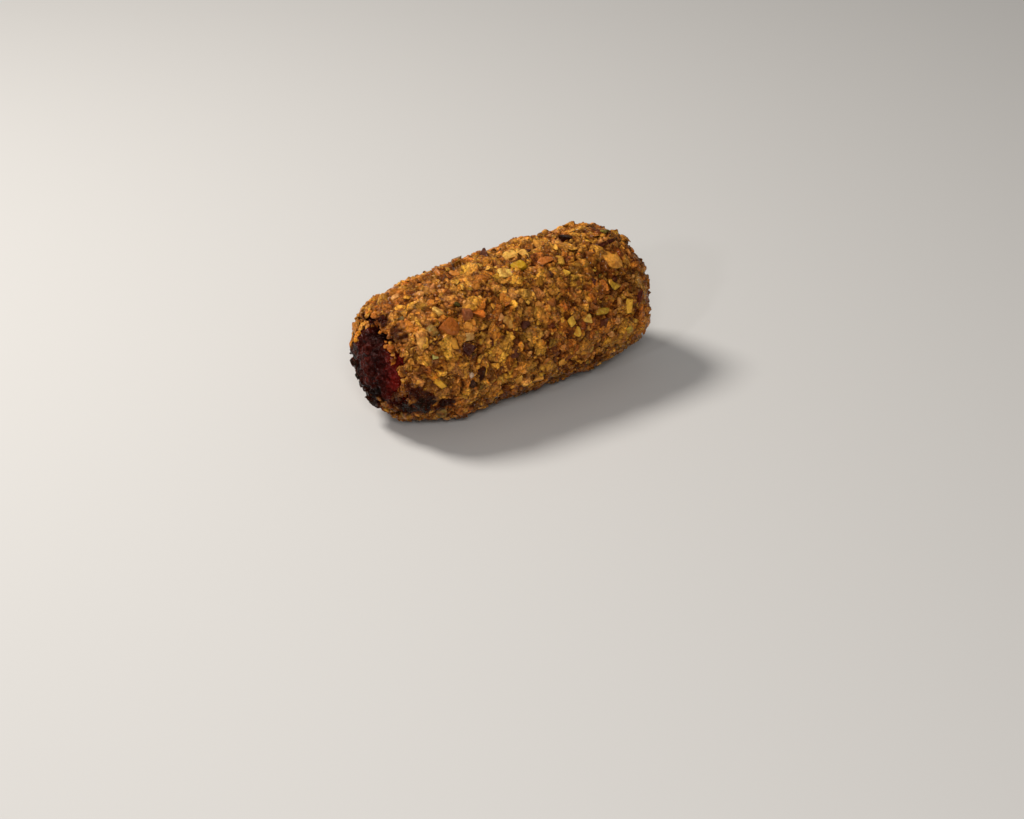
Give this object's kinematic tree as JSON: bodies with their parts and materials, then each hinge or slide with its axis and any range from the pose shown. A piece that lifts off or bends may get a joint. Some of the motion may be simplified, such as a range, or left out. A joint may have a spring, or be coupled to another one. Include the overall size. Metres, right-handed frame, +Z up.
{
  "type": "mortadella and pistachio croquette",
  "caption": "Fried croquette roll in a craggy crust of chopped pistachio, lying on its side, with dark red mortadella filling showing at its burst end.",
  "frame": {"origin": "under the middle of the roll, on the surface that it rests on", "axes": "+X along the roll, towards its shut end, so the burst end is at -X; +Z up"},
  "size_m": [0.1072, 0.051, 0.0492],
  "materials": {
    "crust": "rough golden-brown fried crumb with oily glints",
    "filling": "glossy dark red to burnt black cooked meat"
  },
  "bodies": {
    "root": {"pistachio_crust": "crust", "mortadella_filling": "filling"}
  },
  "joints": []
}
